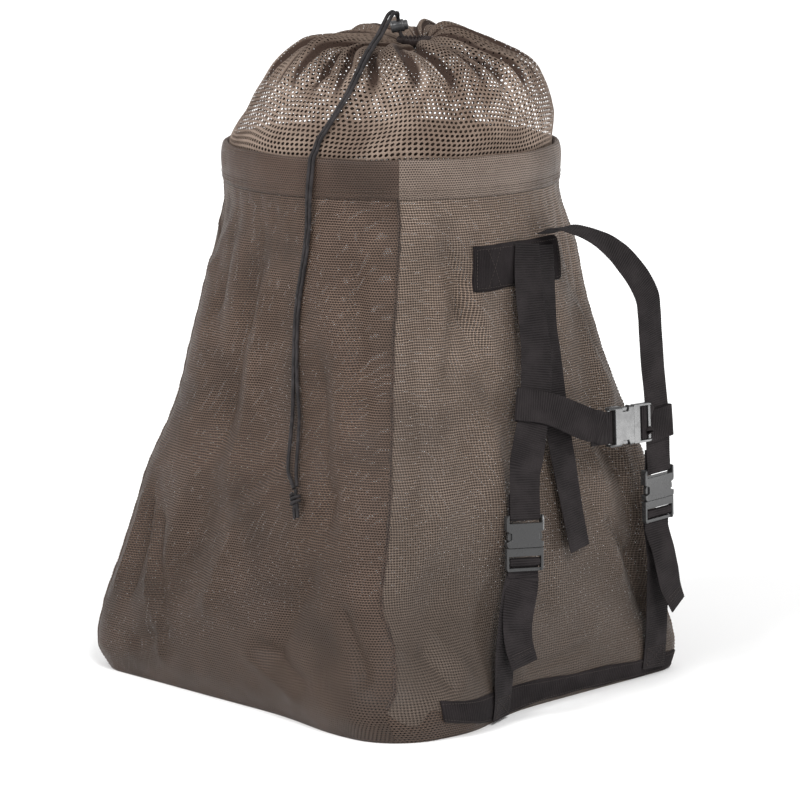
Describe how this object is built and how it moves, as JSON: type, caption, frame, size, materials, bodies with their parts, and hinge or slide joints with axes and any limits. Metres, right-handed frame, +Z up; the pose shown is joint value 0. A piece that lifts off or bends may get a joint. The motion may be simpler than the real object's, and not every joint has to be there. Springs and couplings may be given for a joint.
{
  "type": "mesh carry backpack",
  "caption": "Tall mesh backpack with a square base, a hooped rim, a net collar drawn shut by a cord with a lock, and buckled webbing shoulder straps.",
  "frame": {"origin": "middle of the square base, on the floor, below the middle of the hooped rim", "axes": "+Z up out of the mouth; -Y towards the strap panel, where the wearer's back goes; +X towards the right strap as seen from -Y"},
  "size_m": [0.5372, 0.5651, 0.7889],
  "materials": {
    "mesh_taupe": "fine open mesh, matt",
    "mesh_brown": "fine open mesh, matt",
    "net_brown": "coarse open net, matt",
    "webbing": "ribbed webbing, matt",
    "cord": "braided cord",
    "buckle_plastic": "moulded, satin gloss",
    "lock_plastic": "moulded, satin gloss",
    "hoop_plastic": "smooth strip"
  },
  "bodies": {
    "bag": {"strap_panel": "mesh_taupe", "right_panel": "mesh_brown", "back_panel": "mesh_brown", "left_panel": "mesh_brown", "base_panel": "mesh_brown", "front_seam": "mesh_taupe", "right_seam": "mesh_taupe", "rear_seam": "mesh_brown", "left_seam": "mesh_brown", "rim_hem_light": "mesh_taupe", "rim_hem_dark": "mesh_brown", "rim_hoop": "hoop_plastic", "net_collar_strap_side": "net_brown", "net_collar_right": "net_brown", "net_collar_back": "net_brown", "net_collar_left": "net_brown", "drawstring_loop": "cord", "drawstring_left": "cord", "drawstring_right": "cord", "drawstring_knot": "cord", "cord_lock_barrel": "lock_plastic", "strap_patch": "webbing", "left_strap": "webbing", "left_strap_layer": "webbing", "left_anchor_strap": "webbing", "right_strap": "webbing", "right_anchor_strap": "webbing", "sternum_strap_left": "webbing", "sternum_strap_right": "webbing", "left_buckle_socket": "buckle_plastic", "left_buckle_plug": "buckle_plastic", "right_buckle_socket": "buckle_plastic", "right_buckle_plug": "buckle_plastic", "sternum_buckle_socket": "buckle_plastic", "sternum_buckle_plug": "buckle_plastic", "base_strip": "webbing"},
    "lock_button": {"cord_lock_button": "lock_plastic"}
  },
  "joints": [
    {"name": "lock_button_press", "type": "slide", "parent": "bag", "child": "lock_button", "axis": [-0.6964, 0.6964, -0.1736], "range_m": [0, 0.003], "stiffness_N_per_m": 600, "springref_m": -0.002}
  ]
}
